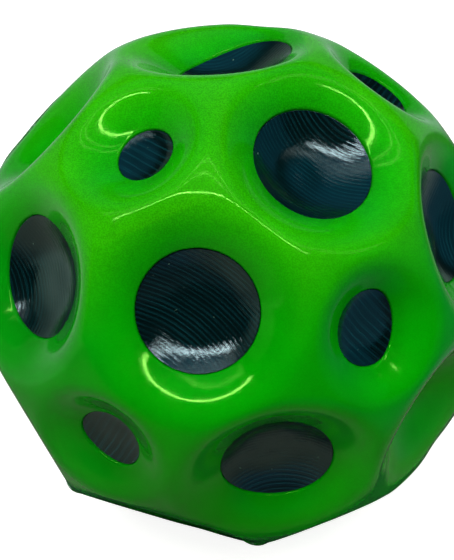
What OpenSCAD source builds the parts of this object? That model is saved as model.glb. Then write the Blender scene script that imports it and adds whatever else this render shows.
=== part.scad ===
// Cratered high-bounce ball: a foam core under a dense two-part moulded skin,
// with a dished floor patch set in the window at the bottom of each crater.
//
// Twenty large craters lie on the corners of a dodecahedron and twelve small ones
// on its face centres. The skin between them swells into rounded ridges that meet
// three by three at sixty high points. The ball lies on the rim of a large crater.

/* [Ball] */
// Diameter over the high points between the craters
ball_d = 65; // [60:0.5:75]
// Thickness of the dense skin at the high points
skin_t = 1.2; // [0.8:0.1:1.6]

/* [Large craters] */
// Reach of a large crater: the angle in degrees from its axis at which it dies out
large_reach = 24.4; // [22:0.1:26]
// Depth of a large crater below the high points
large_depth = 6; // [4:0.1:7]
// Diameter of the dark floor in a large crater
large_floor_d = 13.2; // [9:0.1:14]

/* [Small craters] */
// Reach of a small crater: the angle in degrees from its axis at which it dies out
small_reach = 16.9; // [15:0.1:19]
// Depth of a small crater below the high points
small_depth = 3.4; // [2.5:0.1:4.5]
// Diameter of the dark floor in a small crater
small_floor_d = 7.3; // [5:0.1:8]

/* [Floor patches] */
// Thickness of a floor patch at its centre
floor_t = 1.2; // [0.8:0.1:2]
// Clearance between a floor patch and the edge of its window
floor_gap = 0.05; // [0.02:0.01:0.2]

/* [Parting line] */
// Height of the flash ridge above the skin
flash_h = 0.3; // [0.1:0.05:0.6]
// Width of the flash ridge
flash_w = 0.7; // [0.4:0.05:1.2]

/* [Form] */
// Flatness of the dish: a higher number gives a flatter floor and a steeper wall
dish_power = 3.4; // [2.8:0.1:3.8]
// Softness of the lip: a higher number rounds the wall over sooner on to the ridge
lip_power = 4; // [3:0.5:5]
// Rings of facets from the top of a skin half down to the parting line
rings = 34; // [24:1:36]

/* [Hidden] */
$fn = 96;

// Colours of the moulded skin, the floor patches and the foam
skin_colour = [0.11, 0.66, 0.02];
floor_colour = [0.04, 0.08, 0.13];
foam_colour = [0.2, 0.21, 0.22];

// Overrun of every cut past the surface that it opens
overrun = 2;

// Reach of the bed under a crater, as a share of the crater's own reach
bed_share = 0.94;

// Radius of the arc that makes an outline's flatter side, as a share of its own radius
arc_share = 1.3;

// Reach of a floor patch's revolved blank, as a share of the patch's nominal reach,
// which covers every outline in the tables below
blank_share = 1.75;

ball_r = ball_d / 2;
core_r = ball_r - skin_t;
large_floor_r = ball_r - large_depth;
small_floor_r = ball_r - small_depth;

// Crater directions in the frame of the mould, whose halves part at z = 0
golden = (1 + sqrt(5)) / 2;
large_dirs = concat(
    [for (a = [1, -1], b = [1, -1], c = [1, -1]) [a, b, c]],
    [for (a = [1, -1], b = [1, -1])
        each [[a / golden, 0, b * golden], [b * golden, a / golden, 0], [0, b * golden, a / golden]]]);
small_dirs = [for (a = [1, -1], b = [1, -1])
    each [[0, a, b * golden], [b * golden, 0, a], [a, b * golden, 0]]];

// The masked outline of each floor, as shares of its nominal radius: its size, its
// shift down and across the slope of the ball, and how far out its flatter side
// lies, with that side's direction. A side at 1 or more cuts nothing.
even_share = [1, 0, 0, 1, 0];
large_shares = [
    [1.03, 0.15, -0.33, 0.8, 15],
    even_share,
    [1, 0.08, 0.15, 1, 0],
    even_share,
    [1.06, -0.02, -0.1, 0.76, 180],
    even_share,
    [0.97, 0.14, 0.04, 0.88, -15],
    even_share,
    [1.03, 0.08, 0, 1, 0],
    even_share,
    [0.75, -0.1, 0, 1, 0],
    even_share,
    even_share,
    [0.75, -0.25, 0, 1, 0],
    [1.01, 0.02, -0.02, 1, 0],
    even_share,
    even_share,
    even_share,
    even_share,
    even_share];
small_shares = [
    [0.9, -0.14, -0.07, 1, 0],
    [1.15, 0.42, -0.08, 1, 0],
    even_share,
    even_share,
    [1.04, 0.27, 0.1, 0.78, 0],
    even_share,
    [1.16, -0.05, -0.03, 0.93, 45],
    even_share,
    even_share,
    even_share,
    even_share,
    even_share];

// Two-digit number of a repeated piece
function two_digits(n) = str(n < 10 ? "0" : "", n);
function piece_name(stem, i) = str(stem, "_", two_digits(i + 1));

function total(v) = v * [for (x = v) 1];

// Depth of one crater at an angle from its axis: a dish that steepens to its wall
// and then rounds over, dying out smoothly at the crater's reach
function crater_depth(angle, reach, depth) =
    angle >= reach ? 0 : depth * pow(1 - pow(angle / reach, dish_power), lip_power);

// Angle between a unit direction and a crater's axis
function angle_to(u, axis) = acos(min(1, u * axis / norm(axis)));

// Distance of the skin from the centre of the ball in a unit direction
function skin_r(u) = ball_r
    - total([for (axis = large_dirs) crater_depth(angle_to(u, axis), large_reach, large_depth)])
    - total([for (axis = small_dirs) crater_depth(angle_to(u, axis), small_reach, small_depth)]);

function direction(polar, azimuth) =
    [sin(polar) * cos(azimuth), sin(polar) * sin(azimuth), cos(polar)];

// Index of point j of quadrant q on ring k, where ring k has 4 k points
function ring_start(k) = 1 + 2 * k * (k - 1);
function ring_point(k, q, j) = ring_start(k) + (q * k + j) % (4 * k);

// Solid half of the ball above the parting plane: rings of points that grow by four
// from ring to ring, and two more rings that raise the flash ridge along the edge
module skin_dome() {
    flash_angle = asin(flash_w / ball_d);
    last_polar = 90 - flash_angle;
    edge_count = 4 * rings;
    ring_dirs = [for (k = [1 : rings], i = [0 : 4 * k - 1])
        direction(last_polar * k / rings, 90 * i / k)];
    ridge_dirs = [for (polar = [90 - flash_angle / 2, 90], i = [0 : edge_count - 1])
        direction(polar, 360 * i / edge_count)];
    points = concat(
        [skin_r([0, 0, 1]) * [0, 0, 1]],
        [for (u = ring_dirs) skin_r(u) * u],
        [for (u = ridge_dirs) (skin_r(u) + flash_h) * u],
        [[0, 0, 0]]);
    centre = len(points) - 1;
    ridge_start = ring_start(rings);
    cap_faces = [for (q = [0 : 3]) [0, ring_point(1, q + 1, 0), ring_point(1, q, 0)]];
    ring_faces = [for (k = [1 : rings - 1], q = [0 : 3])
        each concat(
            [for (j = [0 : k]) [ring_point(k, q, j), ring_point(k + 1, q, j + 1), ring_point(k + 1, q, j)]],
            [for (j = [0 : k - 1]) [ring_point(k, q, j), ring_point(k, q, j + 1), ring_point(k + 1, q, j + 1)]])];
    ridge_faces = [for (row = [0, 1], i = [0 : edge_count - 1])
        let (a = ridge_start + row * edge_count + i,
             b = ridge_start + row * edge_count + (i + 1) % edge_count)
        each [[a, b, b + edge_count], [a, b + edge_count, a + edge_count]]];
    base_faces = [for (i = [0 : edge_count - 1])
        let (start = ridge_start + 2 * edge_count)
        [start + i, start + (i + 1) % edge_count, centre]];
    polyhedron(points, concat(cap_faces, ring_faces, ridge_faces, base_faces), convexity = 6);
}

// Turns a shape drawn along z onto a crater's axis
module on_axis(axis) {
    rotate([0, acos(axis.z / norm(axis)), atan2(axis.y, axis.x)]) children();
}

// Turns the ball from the mould's frame to the way it lies, on the rim of the
// large crater opposite [1, 1, 1], with the parting plane's normal towards the front
module laid() {
    rotate([0, 0, 90]) rotate([0, -atan(sqrt(2)), 0]) rotate([0, 0, -45]) children();
}

// Radius and centre height of the sphere that hollows the core under a crater. It
// runs from the floor patch's underside to the bed's mouth on the core, which stays
// inside the crater's reach so that the core keeps a land under every high point.
function bed_mouth(reach) = core_r * sin(bed_share * reach);
function bed_rise(reach, floor_r) = core_r * cos(bed_share * reach) - (floor_r - floor_t);
function bed_r(reach, floor_r) =
    (pow(bed_mouth(reach), 2) + pow(bed_rise(reach, floor_r), 2)) / (2 * bed_rise(reach, floor_r));
function bed_z(reach, floor_r) = floor_r - floor_t + bed_r(reach, floor_r);

module bed_sphere(reach, floor_r) {
    translate([0, 0, bed_z(reach, floor_r)]) sphere(r = bed_r(reach, floor_r));
}

module core_body() {
    difference() {
        sphere(r = core_r);
        for (axis = large_dirs) on_axis(axis) bed_sphere(large_reach, large_floor_r);
        for (axis = small_dirs) on_axis(axis) bed_sphere(small_reach, small_floor_r);
    }
}

// Outline of a floor or its window, seen along the crater's axis
module floor_outline(nominal_d, shares, inset) {
    r = nominal_d / 2 * shares[0] - inset;
    shift = nominal_d / 2 * [shares[1], shares[2]];
    arc_r = nominal_d / 2 * shares[0] * arc_share - inset;
    side = nominal_d / 2 * shares[3] - inset;
    translate(shift)
        if (shares[3] < 1)
            intersection() {
                circle(r = r);
                rotate(shares[4]) translate([side - arc_r, 0]) circle(r = arc_r);
            }
        else
            circle(r = r);
}

module floor_prism(nominal_d, shares, floor_r, inset) {
    translate([0, 0, floor_r - floor_t - overrun])
        linear_extrude(ball_r - floor_r + floor_t + 2 * overrun)
            floor_outline(nominal_d, shares, inset);
}

// Windows through the skin over every floor patch
module windows() {
    for (i = [0 : len(large_dirs) - 1])
        on_axis(large_dirs[i]) floor_prism(large_floor_d, large_shares[i], large_floor_r, 0);
    for (i = [0 : len(small_dirs) - 1])
        on_axis(small_dirs[i]) floor_prism(small_floor_d, small_shares[i], small_floor_r, 0);
}

// Half of the skin: side is 0 above the parting plane and 1 below it
module skin_half(side) {
    laid() difference() {
        mirror([0, 0, side]) skin_dome();
        core_body();
        windows();
    }
}

// Blank of a floor patch: its top is the dish of the crater, drawn in steps from the
// axis outwards, and its underside beds on the core
module dish(reach, depth, floor_r, nominal_d) {
    steps = 16;
    edge_angle = blank_share * asin(nominal_d / 2 / floor_r);
    profile = [for (s = [0 : steps])
        let (angle = edge_angle * s / steps, r = ball_r - crater_depth(angle, reach, depth))
        [r * sin(angle), r * cos(angle)]];
    rim = profile[steps];
    rotate_extrude() intersection() {
        polygon(concat(profile, [[rim.x, floor_r - floor_t - overrun], [0, floor_r - floor_t - overrun]]));
        translate([0, bed_z(reach, floor_r)]) circle(r = bed_r(reach, floor_r));
    }
}

module foam_core() {
    color(foam_colour) laid() core_body();
}

module upper_skin() {
    color(skin_colour) skin_half(0);
}

module lower_skin() {
    color(skin_colour) skin_half(1);
}

module large_floor(i) {
    color(floor_colour) laid() on_axis(large_dirs[i]) intersection() {
        dish(large_reach, large_depth, large_floor_r, large_floor_d);
        floor_prism(large_floor_d, large_shares[i], large_floor_r, floor_gap);
    }
}

module small_floor(i) {
    color(floor_colour) laid() on_axis(small_dirs[i]) intersection() {
        dish(small_reach, small_depth, small_floor_r, small_floor_d);
        floor_prism(small_floor_d, small_shares[i], small_floor_r, floor_gap);
    }
}

foam_core();
upper_skin();
lower_skin();
for (i = [0 : len(large_dirs) - 1])
    large_floor(i);
for (i = [0 : len(small_dirs) - 1])
    small_floor(i);
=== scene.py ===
"""Dresses the cratered high-bounce ball: its green moulded skin, flash line and dark floors."""

import math
from typing import NamedTuple

import bpy
import numpy as np
from mathutils import Matrix, Vector


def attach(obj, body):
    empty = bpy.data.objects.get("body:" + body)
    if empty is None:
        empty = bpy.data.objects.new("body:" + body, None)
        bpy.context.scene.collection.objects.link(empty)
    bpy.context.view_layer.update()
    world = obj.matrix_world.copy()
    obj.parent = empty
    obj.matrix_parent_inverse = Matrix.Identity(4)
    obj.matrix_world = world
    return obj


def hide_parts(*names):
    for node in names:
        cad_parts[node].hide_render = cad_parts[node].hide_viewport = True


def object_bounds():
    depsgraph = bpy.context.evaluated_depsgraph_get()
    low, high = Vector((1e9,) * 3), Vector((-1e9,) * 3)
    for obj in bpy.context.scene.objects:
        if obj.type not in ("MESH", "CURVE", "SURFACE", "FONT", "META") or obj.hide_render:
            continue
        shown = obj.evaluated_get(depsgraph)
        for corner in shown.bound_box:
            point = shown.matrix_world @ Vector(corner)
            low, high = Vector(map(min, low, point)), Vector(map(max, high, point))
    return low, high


bl_info = {
    "name": "Cratered high-bounce ball",
    "version": (1, 0, 0),
    "blender": (4, 5, 0),
    "location": "3D View > Sidebar > Ball",
    "description": "Builds the skin, flash line, crater floors and studio of a cratered ball",
    "category": "Object",
}

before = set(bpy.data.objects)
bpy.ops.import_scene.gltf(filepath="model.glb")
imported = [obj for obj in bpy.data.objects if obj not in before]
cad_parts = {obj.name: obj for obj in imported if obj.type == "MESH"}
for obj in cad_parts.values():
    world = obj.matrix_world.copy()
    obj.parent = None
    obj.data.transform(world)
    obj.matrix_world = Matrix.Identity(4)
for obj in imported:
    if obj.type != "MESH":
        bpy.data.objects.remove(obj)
cad_low, cad_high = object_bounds()

GOLDEN = (1 + 5**0.5) / 2
BODY = "root"
HALVES = ("upper_skin", "lower_skin")
PHOTO_SIZE = (454, 560)
MM = 0.001
MICRON = 0.000001

# How finely the meshes are cut: points along a side of a crater's cell and rings of skin
# in it, points round a dark floor and rings of it, the flash along and across, and the
# studio's floor and wall in the same two ways. Each half of the skin has about 194,000
# triangles with these. Past 200,000 the export would thin it.
SIDE_STEPS = 36
LARGE_RINGS = 28
SMALL_RINGS = 22
FLOOR_STEPS = 144
FLOOR_RINGS = 30
FLASH_STEPS = 2160
FLASH_COLUMNS = 11
GROUND_STEPS = 64
GROUND_RINGS = 7
WALL_STEPS = 45
WALL_ROWS = 5

# Where the studio's wall begins and ends, in degrees from the ball's right side round the back
WALL_FROM = -34.4
WALL_TO = 188.6


# The crater pattern


def unit(vectors):
    """Vectors divided by their own lengths."""
    vectors = np.asarray(vectors, float)
    return vectors / np.linalg.norm(vectors, axis=-1, keepdims=True)


def crater_axes():
    """The corners and then the face centres of a dodecahedron, in the mould's frame."""
    signs = (1, -1)
    large = [(a, b, c) for a in signs for b in signs for c in signs]
    small = []
    for a in signs:
        for b in signs:
            large += [
                (a / GOLDEN, 0, b * GOLDEN),
                (b * GOLDEN, a / GOLDEN, 0),
                (0, b * GOLDEN, a / GOLDEN),
            ]
            small += [(0, a, b * GOLDEN), (b * GOLDEN, 0, a), (a, b * GOLDEN, 0)]
    return unit(large), unit(small)


LARGE, SMALL = crater_axes()
AXES = np.concatenate([LARGE, SMALL])
IS_LARGE = np.arange(len(AXES)) < len(LARGE)
FLOOR_NODES = [f"large_floor_{i + 1:02d}" for i in range(len(LARGE))]
FLOOR_NODES += [f"small_floor_{i + 1:02d}" for i in range(len(SMALL))]


def laid_rotation():
    """Turn from the mould's frame to the way the ball lies, on the rim of a large crater."""
    turn = Matrix.Rotation(math.radians(90), 3, "Z")
    turn @= Matrix.Rotation(-math.atan(2**0.5), 3, "Y")
    turn @= Matrix.Rotation(math.radians(-45), 3, "Z")
    return np.array(turn)


LAID = laid_rotation()

# Outlines of the floors, as part.scad has them: size, shift down and across the slope of
# the ball and how far out the flatter side lies, as shares of the floor's nominal radius,
# and then that side's direction in degrees. The crater's number is its node's, less one.
EVEN = (1, 0, 0, 1, 0)
LARGE_SHARES = {
    0: (1.03, 0.15, -0.33, 0.8, 15),
    2: (1, 0.08, 0.15, 1, 0),
    4: (1.06, -0.02, -0.1, 0.76, 180),
    6: (0.97, 0.14, 0.04, 0.88, -15),
    8: (1.03, 0.08, 0, 1, 0),
    10: (0.75, -0.1, 0, 1, 0),
    13: (0.75, -0.25, 0, 1, 0),
    14: (1.01, 0.02, -0.02, 1, 0),
}
SMALL_SHARES = {
    0: (0.9, -0.14, -0.07, 1, 0),
    1: (1.15, 0.42, -0.08, 1, 0),
    4: (1.04, 0.27, 0.1, 0.78, 0),
    6: (1.16, -0.05, -0.03, 0.93, 45),
}
ARC_SHARE = 1.3
CORNER_POWER = 14
NEIGHBOUR_ANGLE = math.radians(45)


# Sizes and colours


def length(name, value, description):
    """A length property in metres, given here in millimetres."""
    return bpy.props.FloatProperty(
        name=name, description=description, default=value * MM, min=0, unit="LENGTH", precision=5
    )


def angle(name, value, description):
    """An angle property in radians, given here in degrees."""
    return bpy.props.FloatProperty(
        name=name, description=description, default=math.radians(value), min=0, unit="ROTATION"
    )


def power(name, value, description):
    """A plain number between one and eight."""
    return bpy.props.FloatProperty(
        name=name, description=description, default=value, min=1, max=8
    )


def colour(name, value, description):
    """A colour property, in linear light."""
    return bpy.props.FloatVectorProperty(
        name=name, description=description, default=value, size=3, min=0, max=1, subtype="COLOR"
    )


class BallSizes(bpy.types.PropertyGroup):
    """Sizes of the ball, which repeat the CAD part's."""

    ball_d: length("Ball", 65, "Diameter over the high points between the craters")
    large_reach: angle("Large reach", 24.4, "Angle from a large crater's axis to its end")
    large_depth: length("Large depth", 6, "Depth of a large crater")
    large_floor_d: length("Large floor", 13.2, "Diameter of a large crater's dark floor")
    small_reach: angle("Small reach", 16.9, "Angle from a small crater's axis to its end")
    small_depth: length("Small depth", 3.4, "Depth of a small crater")
    small_floor_d: length("Small floor", 7.3, "Diameter of a small crater's dark floor")
    dish_power: power("Dish", 3.4, "Flatness of the dish")
    lip_power: power("Lip power", 4, "Softness of the lip between wall and ridge")
    inset: length("Inset", 0.05, "How far the smooth skin lies inside the faceted solid")
    lip_r: length("Lip", 0.16, "Rounding of the coat's edge round each floor")
    wall_h: length("Lip wall", 0.7, "Height of the coat's edge below the rounding")
    recess: length("Floor recess", 0.2, "Depth of a floor's face below the coat")
    floor_gap: length("Floor gap", 0.05, "Clearance round a floor")
    large_pass: length("Large pass", 0.5, "Step between a cutter's passes in large floors")
    small_pass: length("Small pass", 0.8, "Step between a cutter's passes in small floors")
    flash_h: length("Flash height", 0.3, "Height of the flash ridge on the parting line")
    flash_w: length("Flash width", 0.9, "Width of the flash ridge on the parting line")


class StudioSizes(bpy.types.PropertyGroup):
    """Sizes of the studio, which is centred under the ball."""

    wall_r: length("Wall", 3000, "Distance of the wall and of the floor's rim")
    wall_h: length("Wall height", 2500, "Height of the wall")
    ceiling_r: length("Ceiling", 2400, "Radius of the ceiling")
    ceiling_h: length("Ceiling height", 1600, "Height of the ceiling over the ball's centre")


class BallColours(bpy.types.PropertyGroup):
    """Colours of the ball."""

    # Painted light and shade in the coat: the green is yellower where light falls on the ridges
    # near the top, the hollow green is its painted shade in the craters, the lower green is painted
    # shade lower down, the deep green is painted shade underneath and round the floors as well as
    # the coat's grain, clouds and flash, and the teal is a painted light towards the lower left.
    green: colour("Green", (0.034, 0.475, 0.001), "Coat on the ridges near the top")
    shaded_hollow: colour("Hollow green", (0.008, 0.42, 0.001), "Coat in the craters near the top")
    shade: colour("Lower green", (0.001, 0.34, 0.001), "Coat of the skin lower down")
    dark_green_and_shade: colour("Deep green", (0.001, 0.118, 0.001), "Coat underneath and in the grain")
    painted_left_light_tint: colour("Teal", (0.001, 0.3, 0.006), "Coat towards the lower left")
    sheen: colour("Sheen", (0.4, 1, 0.14), "Tint of the coat's reflections")
    navy: colour("Navy", (0.0005, 0.005, 0.005), "Floor of a crater")
    crest: colour("Crest", (0.002, 0.03, 0.034), "Crests between a cutter's passes")
    glaze: colour("Glaze", (0.75, 1, 1), "Tint of a floor's reflections")
    scuff: colour("Scuff", (0.16, 0.3, 0.2), "Scuffs along the flash")
    foam: colour("Foam", (0.035, 0.037, 0.04), "Foam core")


class StudioColours(bpy.types.PropertyGroup):
    """Colours of the studio and its light."""

    ground: colour("Ground", (0.62, 0.6, 0.56), "Studio floor")
    page: colour("Page", (0.86, 0.86, 0.86), "Glow that makes the floor white to the camera")
    haze: colour("Haze", (0.55, 0.58, 0.42), "Studio floor in reflections")
    # Dark parts of the floor in reflections: its dark front, and a painted shadow under the ball.
    dusk_and_shadow: colour("Dusk", (0.02, 0.03, 0.04), "Dark parts of the floor in reflections")
    # Rim, window, wall and sky are painted glow, no lamps, which only reflections show.
    rim: colour("Rim", (0.01, 0.1, 0.2), "Band of the floor in front, in reflections")
    window: colour("Window", (0.015, 0.14, 0.22), "Floor and wall to the right, in reflections")
    wall: colour("Wall", (0.32, 0.46, 0.38), "Wall behind the ball, in reflections")
    sky: colour("Sky", (0.025, 0.22, 0.36), "Ceiling in reflections")
    fill: colour("Fill", (0.21, 0.21, 0.21), "Light from all round")
    gloom: colour("Gloom", (0.005, 0.007, 0.01), "What is left of it in reflections")


# The ball's surface


def depth_at(angles, reach, depth, sizes):
    """Depth of a crater at angles from its axis: depth times a power of one less a power
    of the angle's share of the reach, and nothing past the reach."""
    share = np.clip(angles / reach, 0, 1)
    return depth * (1 - share**sizes.dish_power) ** sizes.lip_power


def skin_radius(directions, sizes):
    """Distance of the skin from the ball's centre: the ball's radius less the depth of
    every crater that the direction falls in."""
    angles = np.arccos(np.clip(directions @ AXES.T, -1, 1))
    reach = np.where(IS_LARGE, sizes.large_reach, sizes.small_reach)
    depth = np.where(IS_LARGE, sizes.large_depth, sizes.small_depth)
    depths = depth_at(angles, reach, depth, sizes)
    return sizes.ball_d / 2 - sizes.inset - depths.sum(axis=-1)


def local_frame(axis):
    """Down the slope, across it and along the axis: the rows that part.scad's turn by the
    axis's polar angle and azimuth gives."""
    polar = math.acos(axis[2])
    azimuth = math.atan2(axis[1], axis[0])
    down = (
        math.cos(polar) * math.cos(azimuth),
        math.cos(polar) * math.sin(azimuth),
        -math.sin(polar),
    )
    across = (-math.sin(azimuth), math.cos(azimuth), 0)
    return np.array([down, across, axis])


def floor_shares(crater):
    """A floor's outline shares and the name of the property with its nominal diameter."""
    if IS_LARGE[crater]:
        return LARGE_SHARES.get(crater, EVEN), "large_floor_d"
    return SMALL_SHARES.get(crater - len(LARGE), EVEN), "small_floor_d"


def ray_out(rays, centre, radius):
    """Distance at which rays from the axis leave a circle round a centre near it."""
    along = rays @ centre
    return along + np.sqrt(radius**2 - centre @ centre + along**2)


def outline_radius(azimuths, crater, sizes, inset=0.0):
    """Distance of a floor's outline from its crater's axis, along azimuths: where the ray
    leaves the shifted circle or the wider arc of the flatter side, whichever comes first.
    The two blend as a high root of the sum of their inverse powers, which rounds the
    corner between them."""
    shares, name = floor_shares(crater)
    nominal = getattr(sizes, name) / 2
    rays = np.stack([np.cos(azimuths), np.sin(azimuths)], axis=-1)
    shift = nominal * np.array(shares[1:3])
    out = ray_out(rays, shift, nominal * shares[0] - inset)
    if shares[3] < 1:
        turn = math.radians(shares[4])
        radius = nominal * shares[0] * ARC_SHARE - inset
        side = nominal * shares[3] - inset - radius
        centre = shift + side * np.array([math.cos(turn), math.sin(turn)])
        arc = ray_out(rays, centre, radius)
        out = (out**-CORNER_POWER + arc**-CORNER_POWER) ** (-1 / CORNER_POWER)
    return out


def on_skin(distances, azimuths, axes, sizes):
    """Unit directions of the skin's points at given distances from a crater's axis. The
    angle from the axis is the arc sine of distance over radius, found in a few rounds."""
    angle = distances / (sizes.ball_d / 2)
    for _ in range(8):
        directions = local_directions(angle, azimuths, axes)
        angle = np.arcsin(distances / skin_radius(directions, sizes))
    return local_directions(angle, azimuths, axes)


def local_directions(angle, azimuths, axes):
    """Directions at an angle from the crater's axis, towards an azimuth round it."""
    down, across, axis = axes
    side = np.cos(azimuths)[..., None] * down + np.sin(azimuths)[..., None] * across
    return np.sin(angle)[..., None] * side + np.cos(angle)[..., None] * axis


def cell_border(crater):
    """Directions round the edge of a crater's cell, which runs straight between the
    points that lie equally far from it and from two neighbours. Each side is cut in equal
    angles, so that the neighbour's side has the same points."""
    axis = AXES[crater]
    close = AXES @ axis > math.cos(NEIGHBOUR_ANGLE)
    near = [i for i in np.flatnonzero(close) if i != crater]
    down, across, _ = local_frame(axis)
    near.sort(key=lambda i: math.atan2(AXES[i] @ across, AXES[i] @ down))
    around = AXES[near]
    corners = unit(np.cross(around - axis, np.roll(around, -1, axis=0) - axis))
    ends = np.roll(corners, -1, axis=0)
    span = np.arccos(np.sum(corners * ends, axis=1))[:, None, None]
    share = (np.arange(SIDE_STEPS) / SIDE_STEPS)[None, :, None]
    points = np.sin((1 - share) * span) * corners[:, None] + np.sin(share * span) * ends[:, None]
    return (points / np.sin(span)).reshape(-1, 3)


def skin_cell(crater, sizes):
    """Points of the skin round one crater, as rings from the foot of the coat's edge, over
    its rounded lip and out to the cell's border. The rings between lip and border lie at
    shares of the angle between them, which a power sets closer together near the lip."""
    axes = local_frame(AXES[crater])
    border = cell_border(crater)
    azimuths = np.arctan2(border @ axes[1], border @ axes[0])
    border_angle = np.arccos(border @ axes[2])
    edge = outline_radius(azimuths, crater, sizes)
    rings = []
    for turn in np.radians([0, 0, 30, 60, 90]):
        directions = on_skin(edge + sizes.lip_r * (1 - math.cos(turn)), azimuths, axes, sizes)
        points = directions * skin_radius(directions, sizes)[:, None]
        drop = sizes.lip_r * (1 - math.sin(turn)) + (sizes.wall_h if not rings else 0)
        rings.append(points - drop * axes[2])
    lip_angle = np.arccos(np.clip(directions @ axes[2], -1, 1))
    count = LARGE_RINGS if IS_LARGE[crater] else SMALL_RINGS
    for share in (np.arange(1, count + 1) / count) ** 1.15:
        directions = local_directions(
            lip_angle + share * (border_angle - lip_angle), azimuths, axes
        )
        rings.append(directions * skin_radius(directions, sizes)[:, None])
    return np.stack(rings)


def ring_faces(rings, around, closed=True):
    """Quads between rings of points, closed round each ring or open like a sheet."""
    steps = np.arange(around if closed else around - 1)
    ring, step = np.meshgrid(np.arange(rings - 1), steps, indexing="ij")
    after = (step + 1) % around
    quads = [ring * around + step, (ring + 1) * around + step]
    quads += [(ring + 1) * around + after, ring * around + after]
    return np.stack(quads, axis=-1).reshape(-1, 4)


def cap_faces(around):
    """Quads in strips across the first ring of points, which close its middle."""
    step = np.arange(around // 2 - 1)
    last = around - 1 - step
    return np.stack([step, step + 1, last - 1, last], axis=-1)


def welded(points, faces):
    """Points and faces with points of the same place, to a micron, made one, and the index
    of each kept point, so that the shading runs on smoothly from cell to cell."""
    _, first, place = np.unique(
        np.round(points / MICRON), axis=0, return_index=True, return_inverse=True
    )
    return points[first], place.reshape(-1)[faces], first


def floor_patch(crater, sizes):
    """Points of one dark floor: a centre ring, rings at even shares of its outline on the
    crater's dish, and three rings that round its edge down into the gap."""
    axes = local_frame(AXES[crater])
    azimuths = np.linspace(0, 2 * math.pi, FLOOR_STEPS, endpoint=False)
    edge = outline_radius(azimuths, crater, sizes, sizes.floor_gap)
    rings = []
    flat = [(share, 0) for share in np.linspace(0.01, 0.99, FLOOR_RINGS)]
    for share, sink in flat + [(0.996, 0.01), (0.999, 0.12), (1, 1)]:
        directions = on_skin(edge * share, azimuths, axes, sizes)
        points = directions * skin_radius(directions, sizes)[:, None]
        rings.append(points - (sizes.recess + sink * sizes.wall_h / 3) * axes[2])
    return np.stack(rings)


def cutter_passes(points, crater, sizes):
    """How many passes of the mould's cutter lie between points of a floor and a fixed
    place: arcs round a point two floor widths down the slope in a large crater, straight
    down the slope in a small one."""
    down, across, _ = local_frame(AXES[crater])
    if IS_LARGE[crater]:
        away = np.hypot(points @ down - 2 * sizes.large_floor_d, points @ across)
        return away / sizes.large_pass
    return points @ across / sizes.small_pass


def inside_window(directions, sizes):
    """Which directions of the skin fall inside the window of any floor."""
    points = directions * skin_radius(directions, sizes)[:, None]
    inside = np.zeros(len(directions), bool)
    for crater in range(len(AXES)):
        down, across, axis = local_frame(AXES[crater])
        x, y = points @ down, points @ across
        edge = outline_radius(np.arctan2(y, x), crater, sizes, -sizes.lip_r)
        inside |= (np.hypot(x, y) < edge) & (points @ axis > 0)
    return inside


def flash_strip(sizes):
    """Points and faces of the flash ridge: round the parting plane and across its width,
    without the stretches inside a floor's window. Its height is a raised cosine of the
    share of the width, which swells and thins along the line as a sum of sines, less a
    tenth, so that its edges lie under the skin."""
    around = np.linspace(0, 2 * math.pi, FLASH_STEPS, endpoint=False)[:, None]
    share = np.linspace(-1, 1, FLASH_COLUMNS)[None, :]
    tilt = share * sizes.flash_w / sizes.ball_d
    directions = np.stack(
        [
            np.cos(tilt) * np.cos(around),
            np.cos(tilt) * np.sin(around),
            np.sin(tilt) + 0 * around,
        ],
        axis=-1,
    )
    swell = 0.8 + 0.12 * np.sin(17 * around) + 0.08 * np.sin(41 * around + 1)
    height = sizes.flash_h * swell * (0.5 + 0.5 * np.cos(math.pi * share)) - 0.1 * sizes.flash_h
    flat = directions.reshape(-1, 3)
    radius = skin_radius(flat, sizes).reshape(height.shape) + height
    points = directions * radius[..., None]
    rows, columns = height.shape
    row, column = np.meshgrid(np.arange(rows), np.arange(columns - 1), indexing="ij")
    after = (row + 1) % rows
    quads = [row * columns + column, after * columns + column]
    quads += [after * columns + column + 1, row * columns + column + 1]
    quads = np.stack(quads, axis=-1).reshape(-1, 4)
    hidden = inside_window(flat, sizes)
    return points.reshape(-1, 3), quads[~hidden[quads].any(axis=1)]


def make_piece(name, points, faces, nodes, material, carried=None):
    """A smooth-shaded mesh object from points in the mould's frame, turned as the ball
    lies, riding on the ball and standing for the CAD nodes that it covers. Carried holds
    values for every point, by attribute name."""
    used, faces = np.unique(faces, return_inverse=True)
    faces = faces.reshape(-1, 4)
    mesh = bpy.data.meshes.new(name)
    mesh.from_pydata((points[used] @ LAID.T).tolist(), [], faces.tolist())
    mesh.polygons.foreach_set("use_smooth", np.ones(len(faces), bool))
    for key, values in (carried or {}).items():
        mesh.attributes.new(key, "FLOAT", "POINT").data.foreach_set("value", values[used])
    mesh.update()
    piece = bpy.data.objects.new(name, mesh)
    bpy.context.scene.collection.objects.link(piece)
    mesh.materials.append(material)
    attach(piece, BODY)
    if nodes:
        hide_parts(*nodes)


# Materials


BLACK = (0, 0, 0)
WHITE = (1, 1, 1)


class Field:
    """A shader value that adds, multiplies and so on as a number does."""

    def __init__(self, paint, socket):
        self.paint = paint
        self.socket = socket

    def joined(self, operation, *values):
        """This value and others through one Math node."""
        return self.paint.node("ShaderNodeMath", {"operation": operation}, dict(enumerate(values)))

    def __add__(self, other):
        return self.joined("ADD", self, other)

    def __sub__(self, other):
        return self.joined("SUBTRACT", self, other)

    def __rsub__(self, other):
        return self.joined("SUBTRACT", other, self)

    def __mul__(self, other):
        return self.joined("MULTIPLY", self, other)

    def sine(self):
        """The sine of this value, in radians."""
        return self.joined("SINE", self)

    __radd__ = __add__
    __rmul__ = __mul__


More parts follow.
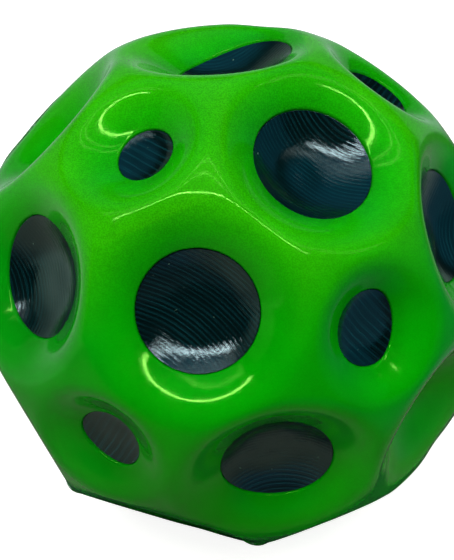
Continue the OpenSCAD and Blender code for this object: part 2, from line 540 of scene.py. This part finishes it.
class Nodes:
    """A node tree under construction."""

    def __init__(self, tree):
        self.tree = tree

    def node(self, kind, settings, inputs, output=0):
        """Adds a node, sets it, fills or links its sockets and returns one output."""
        made = self.tree.nodes.new(kind)
        for key, value in settings.items():
            setattr(made, key, value)
        self.fill(made, inputs)
        return Field(self, made.outputs[output])

    def fill(self, made, inputs):
        """Gives a node's sockets their values or links."""
        for key, value in inputs.items():
            if isinstance(value, Field):
                self.tree.links.new(value.socket, made.inputs[key])
            else:
                made.inputs[key].default_value = value

    def between(self, value, low, high, start=0, end=1):
        """A value's range carried smoothly onto another."""
        inputs = {"Value": value, "From Min": low, "From Max": high, "To Min": start, "To Max": end}
        return self.node("ShaderNodeMapRange", {"interpolation_type": "SMOOTHSTEP"}, inputs)

    def mixed(self, share, first, second):
        """Two colours mixed by a share."""
        inputs = {0: share, 6: colour_of(first), 7: colour_of(second)}
        return self.node("ShaderNodeMix", {"data_type": "RGBA"}, inputs, 2)


class Paint(Nodes):
    """A node material under construction."""

    def __init__(self, name):
        self.material = bpy.data.materials.new(name)
        self.material.use_nodes = True
        super().__init__(self.material.node_tree)
        self.shader = self.tree.nodes["Principled BSDF"]
        self.place = self.node("ShaderNodeTexCoord", {}, {}, "Object")

    def noise(self, scale, detail=2, place=None, output="Fac"):
        """Noise on Object coordinates, with its scale in lumps a metre."""
        inputs = {"Vector": place or self.place, "Scale": scale, "Detail": detail}
        return self.node("ShaderNodeTexNoise", {}, inputs, output)

    def attribute(self, name):
        """A value that the mesh carries on its points."""
        return self.node("ShaderNodeAttribute", {"attribute_name": name}, {}, "Fac")

    def along(self, direction):
        """Distance along a direction from the ball's centre, in metres."""
        inputs = {0: self.place, 1: tuple(direction)}
        return self.node("ShaderNodeVectorMath", {"operation": "DOT_PRODUCT"}, inputs, "Value")

    def away(self):
        """Distance from the ball's centre, in metres."""
        inputs = {0: self.place}
        return self.node("ShaderNodeVectorMath", {"operation": "LENGTH"}, inputs, "Value")

    def bump(self, height, depth, normal=None):
        """A bump of a real depth in metres from a height between 0 and 1."""
        inputs = {"Height": height, "Distance": depth, "Strength": 1}
        if normal is not None:
            inputs["Normal"] = normal
        return self.node("ShaderNodeBump", {}, inputs)

    def finish(self, **sockets):
        """Sets the shader's sockets, named with underscores for spaces, and returns the
        material."""
        self.fill(self.shader, {key.replace("_", " "): value for key, value in sockets.items()})
        return self.material


def colour_of(value):
    """A colour with its alpha, or a field as it is."""
    return value if isinstance(value, Field) else (*value, 1)


def skin_paint(colours):
    """Thick glossy coat on the moulded green, with painted light and shade: yellower where
    light falls on the ridges near the top, a lighter teal tint painted towards the lower
    left, and painted shade underneath, in the craters and round the floors. It is slowly
    clouded, with a pebbled grain that is painted stronger near the top, and an orange-peel
    skin."""
    paint = Paint("green_coat")
    wander = paint.noise(70, 2) * (6 * MM)
    # Painted shade: the coat turns darker towards the bottom and the lower left.
    low = paint.between(paint.along((0.8, -0.1, 1)) + wander, -30 * MM, 4 * MM)
    base = paint.mixed(low, colours.dark_green_and_shade, colours.shade)
    # Painted light: a lighter teal tint towards the lower left.
    left = paint.between(paint.along((-1, -0.2, -0.1)) + wander, 22.5 * MM, 29.5 * MM)
    base = paint.mixed(left * 0.6, base, colours.painted_left_light_tint)
    # Painted light: the coat near the top turns yellower, most on the ridges.
    top = paint.between(paint.along((0, -0.2, 1)) + wander, 14 * MM, 30 * MM)
    # Painted shade: in the craters the coat is less yellow, and close to each floor it turns
    # darker.
    from_floor = paint.attribute("from_floor")
    shaded_hollow = paint.between(from_floor, 1 * MM, 6.5 * MM, 1, 0)
    base = paint.mixed(top, base, paint.mixed(shaded_hollow, colours.green, colours.shaded_hollow))
    near = paint.between(from_floor, 0, 2 * MM, 0.22, 0)
    clouds = paint.between(paint.noise(160, 3), 0.35, 0.7, 0, 0.15)
    # The pebbled grain is painted stronger near the top, where the light falls.
    pebbles = paint.between(paint.noise(6500, 2), 0.38, 0.62) * (top * 0.2 + 0.14)
    # The dark green serves both as painted shade round the floors and as the clouds and grain.
    base = paint.mixed(near + clouds + pebbles, base, colours.dark_green_and_shade)
    peel = paint.bump(paint.noise(650, 2), 6 * MICRON)
    grain = paint.bump(paint.noise(5000, 2), 3 * MICRON, peel)
    rough = paint.between(paint.noise(900, 3), 0.3, 0.8, 0.06, 0.14)
    return paint.finish(
        Base_Color=base,
        Roughness=rough,
        Normal=grain,
        Specular_IOR_Level=0.48,
        Specular_Tint=(*colours.sheen, 1),
        IOR=1.5,
    )


def floor_paint(colours):
    """Dark gloss with the fine lines that a mould cutter's passes leave. They wander and
    fade in and out, and a few pale specks lie between them."""
    paint = Paint("navy_floor")
    phase = paint.attribute("cut") * 2 * math.pi + paint.noise(150, 2) * 6
    lines = phase.sine() + (phase * 2.7).sine() * 0.5
    patches = paint.between(paint.noise(260, 3), 0.3, 0.7, 0.3)
    crests = paint.between(lines, 0, 1.3) * patches
    tint = paint.mixed(crests, colours.navy, colours.crest)
    ridges = paint.bump(lines * paint.between(paint.noise(400, 2), 0.4, 0.6, 0.3), 4 * MICRON)
    fine = paint.bump(paint.noise(7000, 2), 10 * MICRON, ridges)
    specks = paint.between(paint.noise(1700, 1), 0.77, 0.82)
    base = paint.mixed(specks * 0.4, tint, colours.scuff)
    rough = paint.between(paint.noise(500, 3), 0.3, 0.8, 0.07, 0.16)
    return paint.finish(
        Base_Color=base,
        Roughness=rough,
        Normal=fine,
        Specular_IOR_Level=0.8,
        Specular_Tint=(*colours.glaze, 1),
        IOR=1.5,
    )


def flash_paint(colours):
    """The coat where it lies thick and dark along the parting line, with pale scuffs."""
    paint = Paint("flash_edge")
    scuffs = paint.between(paint.noise(1400, 3), 0.58, 0.66)
    base = paint.mixed(scuffs, colours.dark_green_and_shade, colours.scuff)
    rough = paint.between(paint.noise(1100, 2), 0.3, 0.7, 0.18, 0.4)
    normal = paint.bump(paint.noise(1800, 3), 30 * MICRON)
    return paint.finish(
        Base_Color=base,
        Roughness=rough,
        Normal=normal,
        Specular_Tint=(*colours.glaze, 1),
    )


def foam_paint(colours):
    """Matt closed-cell foam: small cells pressed into a dark ground."""
    paint = Paint("core_foam")
    cells = paint.node(
        "ShaderNodeTexVoronoi", {}, {"Vector": paint.place, "Scale": 1600}, "Distance"
    )
    base = paint.mixed(paint.noise(300, 2), colours.foam, [1.6 * c for c in colours.foam])
    return paint.finish(
        Base_Color=base, Roughness=cells * 0.2 + 0.7, Normal=paint.bump(cells, 50 * MICRON)
    )


def ground_paint(colours):
    """Floor and wall. White to the camera, apart from the ball's shadow. As light it is
    pale behind the ball and dark in front. In reflections it is warm grey close to the
    ball, with a painted shadow under it, and darker far off. In reflections a blue band
    glows in front of the grey, the wall behind glows pale and the floor and wall to the
    right glow blue: painted light, though none of it is a lamp."""
    paint = Paint("studio_ground")
    camera = paint.node("ShaderNodeLightPath", {}, {}, "Is Camera Ray")
    glossy = paint.node("ShaderNodeLightPath", {}, {}, "Is Glossy Ray")
    away = paint.away()
    near = paint.between(paint.along((-0.5, 1, 0)), -75 * MM, -25 * MM)
    # Painted shadow: in reflections the floor turns dark under the ball, where it touches.
    painted_contact_shadow = paint.between(away, 40.5 * MM, 43.5 * MM, 1, 0)
    far = paint.between(away, 120 * MM, 300 * MM)
    reflection_dimming_and_shadow = (painted_contact_shadow * 0.4 + far * 0.3 + 0.6) * glossy
    warm = paint.mixed(glossy, colours.ground, colours.haze)
    albedo = paint.mixed(near - reflection_dimming_and_shadow * near, colours.dusk_and_shadow, warm)
    outside = paint.between(away, 52 * MM, 62 * MM)
    rim = outside * paint.between(away, 75 * MM, 90 * MM, 1, 0)
    rim = rim - rim * near
    # Painted light: in reflections the wall behind, a band in front and the floor and wall to the
    # right glow, though they are no lamps.
    behind = paint.between(paint.along((-0.5, 0.85, 0)), 30 * MM, 200 * MM)
    fade = paint.between(paint.along((0, 0, 1)), 200 * MM, 1400 * MM, 1, 0.45)
    glow = paint.mixed(glossy * behind * fade, BLACK, colours.wall)
    glow = paint.mixed(glossy * rim, glow, colours.rim)
    front = paint.between(paint.along((0.3, -1, 0)), -100 * MM, 100 * MM)
    right = paint.between(paint.along((1, 0.75, 0)), -20 * MM, 20 * MM)
    glow = paint.mixed(glossy * (front * right * outside), glow, colours.window)
    return paint.finish(
        Base_Color=paint.mixed(camera, albedo, colours.ground),
        Roughness=0.9,
        Emission_Color=paint.mixed(camera, glow, colours.page),
        Emission_Strength=1,
    )


def ceiling_paint(colours):
    """A pale blue painted glow overhead, no lamp, that fades out towards its rim. Only reflections
    show it.
    """
    paint = Paint("studio_ceiling")
    glow = paint.mixed(paint.between(paint.away(), 1750 * MM, 2300 * MM), colours.sky, BLACK)
    return paint.finish(Base_Color=(*BLACK, 1), Emission_Color=glow, Emission_Strength=1)


# Operators and the studio


class BALL_OT_skin(bpy.types.Operator):
    """Builds the smooth skin of both mould halves with a rounded lip at every window"""

    bl_idname = "ball.skin"
    bl_label = "Skin halves"

    def execute(self, context):
        sizes = context.scene.ball_sizes
        points, faces, apart, start = [], [], [], 0
        for crater in range(len(AXES)):
            cell = skin_cell(crater, sizes)
            points.append(cell.reshape(-1, 3))
            apart.append(np.linalg.norm(cell - cell[0], axis=-1).ravel())
            faces.append(ring_faces(*cell.shape[:2]) + start)
            start += len(points[-1])
        points, faces, first = welded(np.concatenate(points), np.concatenate(faces))
        carried = {"from_floor": np.concatenate(apart)[first] - sizes.wall_h}
        above = points[faces].mean(axis=1)[:, 2] > 0
        material = skin_paint(context.scene.ball_colours)
        for node, half in zip(HALVES, (above, ~above)):
            make_piece(f"{node}_coat", points, faces[half], [node], material, carried)
        return {"FINISHED"}


class BALL_OT_flash(bpy.types.Operator):
    """Builds the flash ridge along the parting line"""

    bl_idname = "ball.flash"
    bl_label = "Flash ridge"

    def execute(self, context):
        points, faces = flash_strip(context.scene.ball_sizes)
        material = flash_paint(context.scene.ball_colours)
        make_piece("flash_ridge", points, faces, (), material)
        return {"FINISHED"}


class BALL_OT_floors(bpy.types.Operator):
    """Builds the dark floor of every crater"""

    bl_idname = "ball.floors"
    bl_label = "Crater floors"

    def execute(self, context):
        sizes = context.scene.ball_sizes
        material = floor_paint(context.scene.ball_colours)
        for crater, node in enumerate(FLOOR_NODES):
            patch = floor_patch(crater, sizes)
            points = patch.reshape(-1, 3)
            faces = np.concatenate([ring_faces(*patch.shape[:2]), cap_faces(FLOOR_STEPS)])
            carried = {"cut": cutter_passes(points, crater, sizes)}
            make_piece(f"{node}_dish", points, faces, [node], material, carried)
        return {"FINISHED"}


class BALL_OT_foam(bpy.types.Operator):
    """Gives the foam core its finish"""

    bl_idname = "ball.foam"
    bl_label = "Foam core"

    def execute(self, context):
        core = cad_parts["foam_core"]
        core.data.materials.clear()
        core.data.materials.append(foam_paint(context.scene.ball_colours))
        return {"FINISHED"}


class BALL_OT_stage(bpy.types.Operator):
    """Sets the camera, the lamps, the world and the studio floor"""

    bl_idname = "ball.stage"
    bl_label = "Studio"

    def execute(self, context):
        sight = Sight()
        sight.place_camera()
        lay_ground(context.scene.studio_sizes, context.scene.studio_colours)
        for lamp in LAMPS:
            hang_lamp(lamp, sight)
        light_world(context.scene.studio_colours)
        context.scene.view_settings.view_transform = "Standard"
        return {"FINISHED"}


class Sight:
    """Where the photograph was taken from: the camera's distance from the ball's centre,
    its angles from the front, its roll, and where that centre falls in the picture."""

    distance = 161.7 * MM
    azimuth = math.radians(-7.69)
    elevation = math.radians(25.21)
    roll = math.radians(-3.74)
    focal_px = 1282.2
    centre_px = (231.8, 283.5)
    sensor_mm = 36

    def __init__(self):
        level = Vector((math.cos(self.azimuth), math.sin(self.azimuth), 0))
        front = Vector((math.sin(self.azimuth), -math.cos(self.azimuth), 0))
        upwards = Vector((0, 0, 1))
        self.towards = front * math.cos(self.elevation) + upwards * math.sin(self.elevation)
        upright = self.towards.cross(level)
        self.right = level * math.cos(self.roll) + upright * math.sin(self.roll)
        self.up = self.towards.cross(self.right)

    def place_camera(self):
        """A camera whose long side is the picture's height, shifted so that the ball's
        centre falls where the photograph has it."""
        data = bpy.data.cameras.new("photo_camera")
        data.sensor_width = self.sensor_mm
        data.lens = self.focal_px / PHOTO_SIZE[1] * data.sensor_width
        data.shift_x = (PHOTO_SIZE[0] / 2 - self.centre_px[0]) / PHOTO_SIZE[1]
        data.shift_y = (self.centre_px[1] - PHOTO_SIZE[1] / 2) / PHOTO_SIZE[1]
        data.clip_start = 5 * MM
        camera = bpy.data.objects.new("photo_camera", data)
        turn = Matrix((self.right, self.up, self.towards)).transposed()
        camera.matrix_world = Matrix.Translation(self.towards * self.distance) @ turn.to_4x4()
        bpy.context.scene.collection.objects.link(camera)
        bpy.context.scene.camera = camera

    def point(self, azimuth, elevation, distance):
        """A point seen from the ball at angles from the camera, right and up."""
        a, e = math.radians(azimuth), math.radians(elevation)
        sideways = self.right * math.sin(a) + self.towards * math.cos(a)
        return (sideways * math.cos(e) + self.up * math.sin(e)) * distance


def lay_ground(sizes, colours):
    """A wide disc under the ball at the height of its lowest point, a wall round the back
    and the sides of it, and a ceiling, which only reflections show. The disc is radius
    times cosine and sine of the turn, and the wall the same at one radius and rising."""
    rings = np.geomspace(0.5 * MM, sizes.wall_r, GROUND_RINGS)[:, None]
    turn = np.linspace(0, 2 * math.pi, GROUND_STEPS, endpoint=False)
    disc = np.stack(np.broadcast_arrays(rings * np.cos(turn), rings * np.sin(turn), 0.0))
    arc = np.radians(np.linspace(WALL_FROM, WALL_TO, WALL_STEPS))
    heights = np.linspace(0, sizes.wall_h, WALL_ROWS)[:, None]
    round_back = sizes.wall_r * np.stack([np.cos(arc), np.sin(arc)])
    wall = np.stack(np.broadcast_arrays(*round_back, heights))
    floor = cad_low.z
    material = ground_paint(colours)
    stand("studio_ground", disc, floor, material, True)
    stand("studio_wall", wall, floor, material, False).visible_diffuse = False
    cover = disc * sizes.ceiling_r / sizes.wall_r
    ceiling = stand("studio_ceiling", cover, sizes.ceiling_h, ceiling_paint(colours), True)
    ceiling.visible_camera = False
    ceiling.visible_diffuse = False
    ceiling.visible_shadow = False


def stand(name, grid, height, material, closed):
    """A stage mesh from a grid of points, closed round each ring or open."""
    mesh = bpy.data.meshes.new(name)
    points = np.moveaxis(grid, 0, -1).reshape(-1, 3) + (0, 0, height)
    mesh.from_pydata(points.tolist(), [], ring_faces(*grid.shape[1:], closed).tolist())
    mesh.materials.append(material)
    made = bpy.data.objects.new(name, mesh)
    bpy.context.scene.collection.objects.link(made)
    return made


class Lamp(NamedTuple):
    """An area lamp: degrees right of and above the camera as seen from the ball, and then
    metres, watts and the tint of its light."""

    name: str
    azimuth: float
    elevation: float
    distance: float
    width: float
    height: float
    watts: float
    tint: tuple = WHITE
    in_reflections: bool = True


# A long tube above the camera draws the bright lines, two thin ones over it their faint
# echoes, and a soft lamp that reflections don't show fills
LAMPS = (
    Lamp("main_tube", -8, 30.4, 1.0, 1.6, 0.025, 6.48, (0.958, 0.958, 1)),
    Lamp("echo_tube_low", 0, 46, 1.0, 2.2, 0.01, 0.7),
    Lamp("echo_tube_high", 0, 53, 1.0, 2.2, 0.01, 0.7),
    Lamp("soft_lamp", 0, 28, 1.2, 2.4, 1.0, 13, in_reflections=False),
)


def hang_lamp(lamp, sight):
    """Hangs a lamp so that it faces the ball, with its long side level in the picture."""
    data = bpy.data.lights.new(lamp.name, "AREA")
    data.shape = "RECTANGLE"
    data.size = lamp.width
    data.size_y = lamp.height
    data.energy = lamp.watts
    data.color = lamp.tint
    made = bpy.data.objects.new(lamp.name, data)
    where = sight.point(lamp.azimuth, lamp.elevation, lamp.distance)
    back = where.normalized()
    side = sight.up.cross(back).normalized()
    turn = Matrix((side, back.cross(side), back)).transposed()
    made.matrix_world = Matrix.Translation(where) @ turn.to_4x4()
    made.visible_glossy = lamp.in_reflections
    bpy.context.scene.collection.objects.link(made)


def light_world(colours):
    """White to the camera, dim as light and nearly dark in reflections, which show the
    wall and the lamps instead."""
    world = bpy.data.worlds.new("studio")
    bpy.context.scene.world = world
    world.use_nodes = True
    sky = Nodes(world.node_tree)
    seen = sky.node("ShaderNodeLightPath", {}, {}, "Is Camera Ray")
    glossy = sky.node("ShaderNodeLightPath", {}, {}, "Is Glossy Ray")
    light = sky.mixed(glossy, colours.fill, colours.gloom)
    sky.fill(world.node_tree.nodes["Background"], {"Color": sky.mixed(seen, light, WHITE)})


class BALL_PT_panel(bpy.types.Panel):
    """Lists the sizes and colours and the operators that build the pieces"""

    bl_label = "Cratered ball"
    bl_idname = "BALL_PT_panel"
    bl_space_type = "VIEW_3D"
    bl_region_type = "UI"
    bl_category = "Ball"

    def draw(self, context):
        column = self.layout.column()
        for key in GROUPS:
            group = getattr(context.scene, key)
            for name in group.__annotations__:
                column.prop(group, name)
        for operator in OPERATORS:
            column.operator(operator.bl_idname)


GROUPS = {
    "ball_sizes": BallSizes,
    "ball_colours": BallColours,
    "studio_sizes": StudioSizes,
    "studio_colours": StudioColours,
}
OPERATORS = (BALL_OT_skin, BALL_OT_flash, BALL_OT_floors, BALL_OT_foam, BALL_OT_stage)
CLASSES = (*GROUPS.values(), *OPERATORS, BALL_PT_panel)


def register():
    """Registers the classes and hangs the property groups on the scene."""
    for item in CLASSES:
        bpy.utils.register_class(item)
    for key, group in GROUPS.items():
        setattr(bpy.types.Scene, key, bpy.props.PointerProperty(type=group))


def unregister():
    """Takes the property groups and the classes away again."""
    for key in GROUPS:
        delattr(bpy.types.Scene, key)
    for item in reversed(CLASSES):
        bpy.utils.unregister_class(item)


def main():
    """Builds the pieces and the studio."""
    register()
    bpy.ops.ball.skin()
    bpy.ops.ball.flash()
    bpy.ops.ball.floors()
    bpy.ops.ball.foam()
    bpy.ops.ball.stage()


if __name__ == "__main__":
    main()
